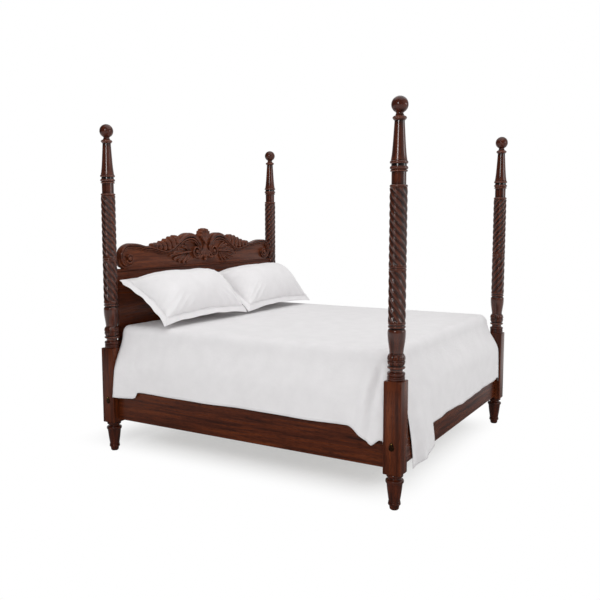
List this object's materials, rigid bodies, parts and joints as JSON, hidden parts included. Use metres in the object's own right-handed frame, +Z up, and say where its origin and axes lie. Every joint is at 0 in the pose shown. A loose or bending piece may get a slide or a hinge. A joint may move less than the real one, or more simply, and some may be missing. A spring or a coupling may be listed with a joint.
{
  "type": "four-poster bed",
  "caption": "Four-poster bed with rope-carved posts, ball finials, scroll-carved headboard, low rails, slats, mattress, white coverlet and shams.",
  "frame": {"origin": "on the floor at the middle of the bed's outline", "axes": "+Z up, +Y towards the headboard, +X to the right of someone who stands at the foot and faces the headboard"},
  "size_m": [2.1506, 2.2251, 2.2505],
  "materials": {
    "mahogany": "dark red-brown mahogany, satin lacquer over glaze",
    "poplar": "planed, unfinished",
    "steel": "zinc plated",
    "bolt_cover": "dark bronzed brass with a bright pin",
    "glide": "moulded nylon",
    "ticking": "woven cotton ticking",
    "coverlet": "white cotton matelasse",
    "sham": "white cotton, flanged and stitched"
  },
  "bodies": {
    "bed": {"post_base_left_foot": "mahogany", "post_shaft_left_foot": "mahogany", "glide_left_foot": "glide", "post_plate_left_foot": "steel", "rail_hook_left_foot": "steel", "bed_bolt_left_foot": "steel", "post_base_left_head": "mahogany", "post_shaft_left_head": "mahogany", "glide_left_head": "glide", "post_plate_left_head": "steel", "rail_hook_left_head": "steel", "bed_bolt_left_head": "steel", "post_base_right_foot": "mahogany", "post_shaft_right_foot": "mahogany", "glide_right_foot": "glide", "post_plate_right_foot": "steel", "rail_hook_right_foot": "steel", "bed_bolt_right_foot": "steel", "post_base_right_head": "mahogany", "post_shaft_right_head": "mahogany", "glide_right_head": "glide", "post_plate_right_head": "steel", "rail_hook_right_head": "steel", "bed_bolt_right_head": "steel", "side_rail_left": "mahogany", "side_rail_right": "mahogany", "foot_rail": "mahogany", "headboard_bottom_rail": "mahogany", "headboard_panel": "mahogany", "headboard_top_rail": "mahogany", "crest_board": "mahogany", "crest_scroll_left": "mahogany", "crest_scroll_right": "mahogany", "crest_leaf_left": "mahogany", "crest_leaf_right": "mahogany", "crest_shell": "mahogany", "slat_cleat_left": "poplar", "slat_cleat_right": "poplar", "slat_1": "poplar", "slat_2": "poplar", "slat_3": "poplar", "slat_4": "poplar", "slat_leg_2": "poplar", "slat_leg_3": "poplar", "box_spring_left": "ticking", "box_spring_right": "ticking", "mattress": "ticking", "coverlet": "coverlet"},
    "finial_left_foot": {"finial_left_foot": "mahogany"},
    "cover_left_foot": {"bolt_cover_left_foot": "bolt_cover"},
    "finial_left_head": {"finial_left_head": "mahogany"},
    "cover_left_head": {"bolt_cover_left_head": "bolt_cover"},
    "finial_right_foot": {"finial_right_foot": "mahogany"},
    "cover_right_foot": {"bolt_cover_right_foot": "bolt_cover"},
    "finial_right_head": {"finial_right_head": "mahogany"},
    "cover_right_head": {"bolt_cover_right_head": "bolt_cover"},
    "pillow_left": {"pillow_left": "sham"},
    "pillow_right": {"pillow_right": "sham"}
  },
  "joints": [
    {"name": "finial_lift_left_foot", "type": "slide", "parent": "bed", "child": "finial_left_foot", "axis": [0, 0, 1], "range_m": [0, 0.05]},
    {"name": "cover_swing_left_foot", "type": "hinge", "parent": "bed", "child": "cover_left_foot", "pos_m": [-1.0723, -1.06, 0.384], "axis": [1, 0, 0], "range_deg": [-110, 110]},
    {"name": "finial_lift_left_head", "type": "slide", "parent": "bed", "child": "finial_left_head", "axis": [0, 0, 1], "range_m": [0, 0.05]},
    {"name": "cover_swing_left_head", "type": "hinge", "parent": "bed", "child": "cover_left_head", "pos_m": [-1.0723, 1.06, 0.384], "axis": [1, 0, 0], "range_deg": [-110, 110]},
    {"name": "finial_lift_right_foot", "type": "slide", "parent": "bed", "child": "finial_right_foot", "axis": [0, 0, 1], "range_m": [0, 0.05]},
    {"name": "cover_swing_right_foot", "type": "hinge", "parent": "bed", "child": "cover_right_foot", "pos_m": [1.0723, -1.06, 0.384], "axis": [1, 0, 0], "range_deg": [-110, 110]},
    {"name": "finial_lift_right_head", "type": "slide", "parent": "bed", "child": "finial_right_head", "axis": [0, 0, 1], "range_m": [0, 0.05]},
    {"name": "cover_swing_right_head", "type": "hinge", "parent": "bed", "child": "cover_right_head", "pos_m": [1.0723, 1.06, 0.384], "axis": [1, 0, 0], "range_deg": [-110, 110]},
    {"name": "pillow_lift_left", "type": "slide", "parent": "bed", "child": "pillow_left", "axis": [0, 0, 1], "range_m": [0, 0.3]},
    {"name": "pillow_lift_right", "type": "slide", "parent": "bed", "child": "pillow_right", "axis": [0, 0, 1], "range_m": [0, 0.3]}
  ]
}
